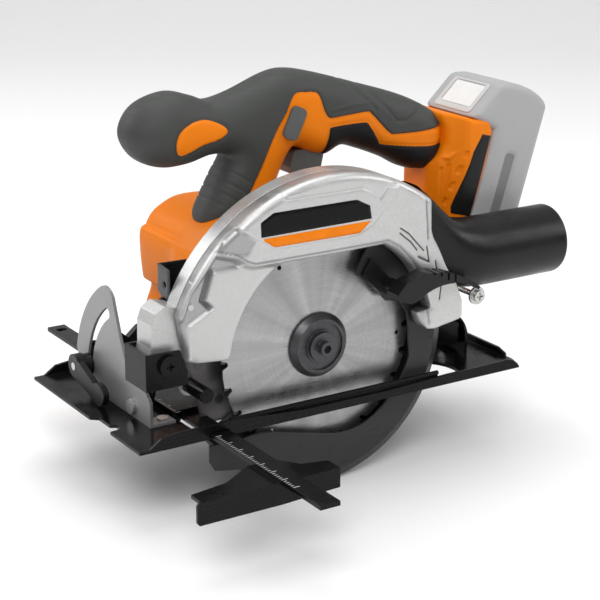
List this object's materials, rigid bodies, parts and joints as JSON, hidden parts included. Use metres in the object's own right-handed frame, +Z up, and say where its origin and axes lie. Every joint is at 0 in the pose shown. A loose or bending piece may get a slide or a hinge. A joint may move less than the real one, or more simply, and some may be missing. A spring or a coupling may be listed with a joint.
{
  "type": "cordless circular saw",
  "caption": "Cordless circular saw: disc guard with sprung lower cover, blade on a geared spindle, looped rear handle, battery, tilting sole plate with rip guide.",
  "frame": {"origin": "on the underside of the sole plate, straight below the blade spindle in the blade's middle plane", "axes": "+Z up from the sole, +X towards the rear of the saw, +Y from the blade side towards the motor"},
  "size_m": [0.3394, 0.358, 0.2593],
  "materials": {
    "orange_plastic": "satin moulded",
    "black_plastic": "matte moulded",
    "grip_rubber": "soft overmould",
    "cast_aluminium": "silver painted casting",
    "dark_cast": "black painted",
    "black_steel": "black painted sheet",
    "shoe_steel": "zinc plated",
    "steel": "machined",
    "blade_steel": "ground",
    "carbide": "ground",
    "brass": "plated",
    "copper": "lacquered",
    "magnet": "sintered",
    "battery_grey": "matte moulded",
    "clear_plastic": "smooth"
  },
  "bodies": {
    "shoe": {"shoe": "black_steel", "bevel_quadrant": "shoe_steel", "foot_rivets": "shoe_steel"},
    "tilt_frame": {"front_bracket": "black_steel", "hinge_pin": "shoe_steel", "bevel_pivots": "shoe_steel", "depth_arm": "black_steel", "bevel_bolt": "shoe_steel", "bevel_washer": "black_plastic"},
    "saw": {"guard_near": "cast_aluminium", "gear_case": "cast_aluminium", "case_cover": "cast_aluminium", "housing_screws": "shoe_steel", "wall_screws": "brass", "guard_stop_stud": "steel", "spindle_bearings": "steel", "countershaft_bearings": "steel", "motor_bearings": "steel", "motor_housing": "orange_plastic", "motor_can": "steel", "motor_magnets": "magnet", "brush_holder": "black_plastic", "brushes": "black_plastic", "dust_port": "black_plastic", "dust_screw": "shoe_steel", "handle_shell_near": "orange_plastic", "handle_shell_far": "orange_plastic", "grip_upper": "grip_rubber", "grip_lower": "grip_rubber", "switch_body": "black_plastic", "power_leads": "copper", "terminal_block": "black_plastic", "terminal_blades": "brass", "depth_bolt": "shoe_steel", "guard_spring": "steel"},
    "cutter": {"spindle": "steel", "spindle_gear": "steel", "flange_inner": "steel", "flange_outer": "steel", "blade_bolt": "steel", "blade": "blade_steel", "blade_tips": "carbide"},
    "countershaft": {"countershaft": "steel"},
    "armature": {"motor_shaft": "steel", "motor_fan": "black_plastic", "armature_core": "steel", "armature_windings": "copper", "commutator": "copper"},
    "lower_guard": {"lower_guard": "dark_cast", "guard_lever": "black_plastic"},
    "trigger": {"trigger": "black_plastic"},
    "lockoff_button": {"lockoff_button": "black_plastic"},
    "bevel_lever": {"bevel_lever": "black_plastic"},
    "depth_lever": {"depth_lever": "black_plastic"},
    "rip_fence": {"rip_fence": "black_steel"},
    "fence_screw": {"fence_screw": "black_plastic"},
    "battery": {"pack_shell_near": "battery_grey", "pack_shell_far": "battery_grey", "battery_cells": "battery_grey"},
    "battery_button": {"battery_button": "clear_plastic"}
  },
  "joints": [
    {"name": "bevel_tilt", "type": "hinge", "parent": "shoe", "child": "tilt_frame", "pos_m": [0.01, 0.036, 0.009], "axis": [1, 0, 0], "range_deg": [0, 15]},
    {"name": "depth_swing", "type": "hinge", "parent": "tilt_frame", "child": "saw", "pos_m": [-0.114, -0.003, 0.052], "axis": [0, -1, 0], "range_deg": [0, 14]},
    {"name": "blade_spin", "type": "hinge", "parent": "saw", "child": "cutter", "pos_m": [0, 0, 0.0395], "axis": [0, 1, 0], "continuous": true},
    {"name": "countershaft_spin", "type": "hinge", "parent": "saw", "child": "countershaft", "pos_m": [-0.01426, 0.03, 0.05753], "axis": [0, 1, 0], "continuous": true},
    {"name": "armature_spin", "type": "hinge", "parent": "saw", "child": "armature", "pos_m": [-0.031, 0.06, 0.0787], "axis": [0, 1, 0], "continuous": true},
    {"name": "guard_retract", "type": "hinge", "parent": "saw", "child": "lower_guard", "pos_m": [0, 0, 0.0395], "axis": [0, -1, 0], "range_deg": [0, 90], "stiffness_Nm_per_rad": 0.08, "springref_deg": -68.75},
    {"name": "trigger_pull", "type": "slide", "parent": "saw", "child": "trigger", "axis": [0, 0, 1], "range_m": [0, 0.005], "stiffness_N_per_m": 300, "springref_m": -0.006},
    {"name": "lockoff_press", "type": "slide", "parent": "saw", "child": "lockoff_button", "axis": [0, 1, 0], "range_m": [0, 0.003], "stiffness_N_per_m": 300, "springref_m": -0.004},
    {"name": "bevel_lever_turn", "type": "hinge", "parent": "tilt_frame", "child": "bevel_lever", "pos_m": [-0.12, 0.09567, 0.01898], "axis": [1, 0, 0], "range_deg": [-50, 0]},
    {"name": "depth_lever_turn", "type": "hinge", "parent": "saw", "child": "depth_lever", "pos_m": [0.095, 0.027, 0.056], "axis": [0, 1, 0], "range_deg": [-60, 0]},
    {"name": "fence_slide", "type": "slide", "parent": "shoe", "child": "rip_fence", "axis": [0, 1, 0], "range_m": [-0.06, 0.044]},
    {"name": "fence_screw_turn", "type": "hinge", "parent": "shoe", "child": "fence_screw", "pos_m": [-0.081, 0.104, 0.02], "axis": [0, 0, 1], "range_deg": [-180, 180]},
    {"name": "battery_slide", "type": "slide", "parent": "saw", "child": "battery", "axis": [0.2924, 0, 0.9563], "range_m": [0, 0.08]},
    {"name": "battery_button_press", "type": "slide", "parent": "battery", "child": "battery_button", "axis": [0.7001, 0, -0.7141], "range_m": [0, 0.0015], "stiffness_N_per_m": 300, "springref_m": -0.002}
  ],
  "couplings": [
    {"joint": "countershaft_spin", "follows": "blade_spin", "ratio": -1.5556},
    {"joint": "armature_spin", "follows": "blade_spin", "ratio": 6.8444}
  ]
}
